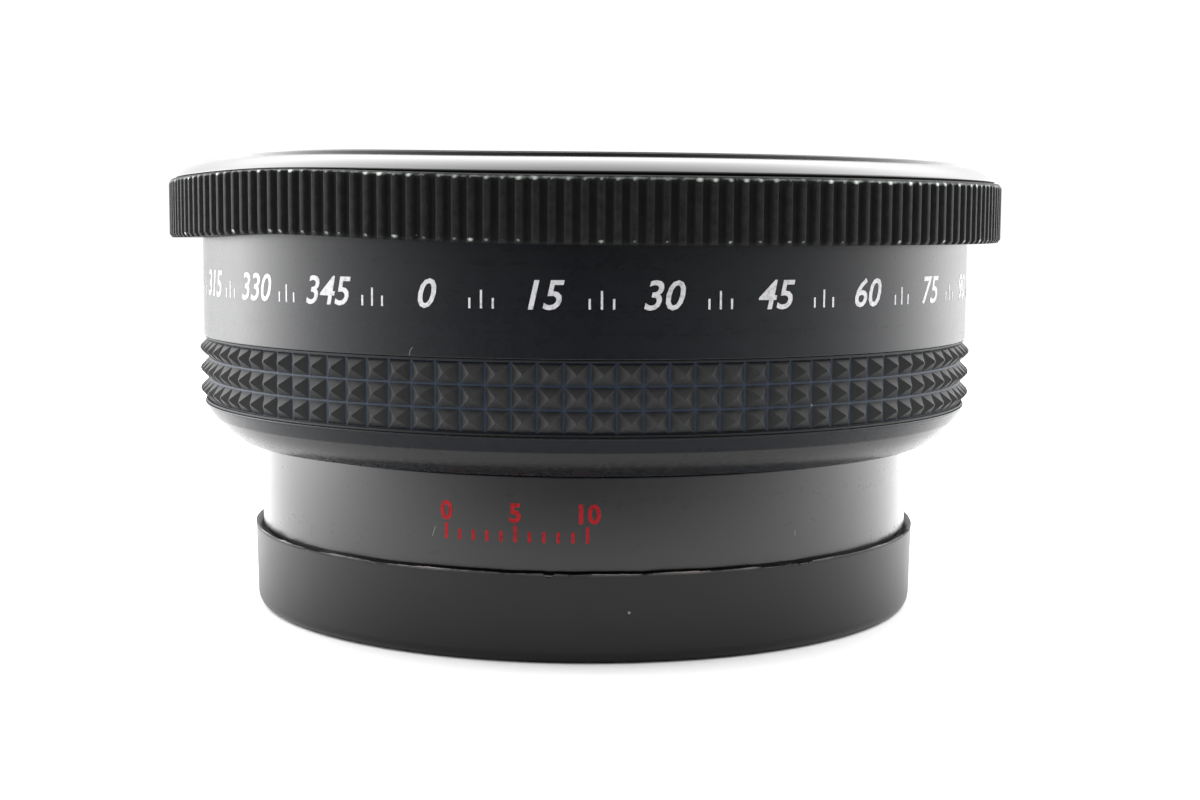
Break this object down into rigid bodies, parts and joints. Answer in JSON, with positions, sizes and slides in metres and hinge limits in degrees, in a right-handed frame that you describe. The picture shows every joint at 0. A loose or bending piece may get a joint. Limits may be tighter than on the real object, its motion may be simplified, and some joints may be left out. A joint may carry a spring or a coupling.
{
  "type": "wide-angle conversion lens",
  "caption": "Squat wide-angle conversion lens with a knurled front ring, pyramid-pattern rubber grip, screw-on macro section and push-on rear cap.",
  "frame": {"origin": "centre of the rear cap's flat base, on the optical axis", "axes": "+Z along the optical axis from the rear cap towards the front of the lens"},
  "size_m": [0.076, 0.076, 0.0402],
  "materials": {
    "blue_black_anodised": "satin blue-black anodised",
    "grey_black_anodised": "satin grey-black anodised",
    "worn_black_anodised": "satin black anodised, worn to bare metal on the edges",
    "black_anodised": "matte black anodised",
    "grip_rubber": "matte moulded rubber",
    "cap_plastic": "satin moulded plastic",
    "coated_glass": "polished, coated",
    "gasket_rubber": "matte",
    "washer_plastic": "matte"
  },
  "bodies": {
    "rear_cap": {"rear_cap": "cap_plastic"},
    "macro_section": {"macro_barrel": "grey_black_anodised", "macro_lens_washer": "washer_plastic", "macro_lens": "coated_glass", "macro_retaining_ring": "black_anodised"},
    "slip_washer": {"section_washer": "washer_plastic"},
    "wide_section": {"wide_barrel": "blue_black_anodised", "grip_ring": "grip_rubber", "inner_cell": "black_anodised", "second_lens_washer": "washer_plastic", "second_lens": "coated_glass", "second_retaining_ring": "black_anodised", "lens_spacer": "black_anodised", "light_stop": "black_anodised", "front_lens": "coated_glass", "front_lens_gasket": "gasket_rubber", "filter_ring": "black_anodised", "trim_ring": "black_anodised", "front_ring": "worn_black_anodised"}
  },
  "joints": [
    {"name": "cap_pull", "type": "slide", "parent": "rear_cap", "child": "macro_section", "axis": [0, 0, 1], "range_m": [0, 0.02]},
    {"name": "wide_turn", "type": "hinge", "parent": "macro_section", "child": "slip_washer", "pos_m": [0, 0, 0.01495], "axis": [0, 0, 1], "range_deg": [0, 1620]},
    {"name": "wide_rise", "type": "slide", "parent": "slip_washer", "child": "wide_section", "axis": [0, 0, 1], "range_m": [0, 0.0034]}
  ],
  "couplings": [
    {"joint": "wide_rise", "follows": "wide_turn", "m_per_rad": 0.00011937}
  ]
}
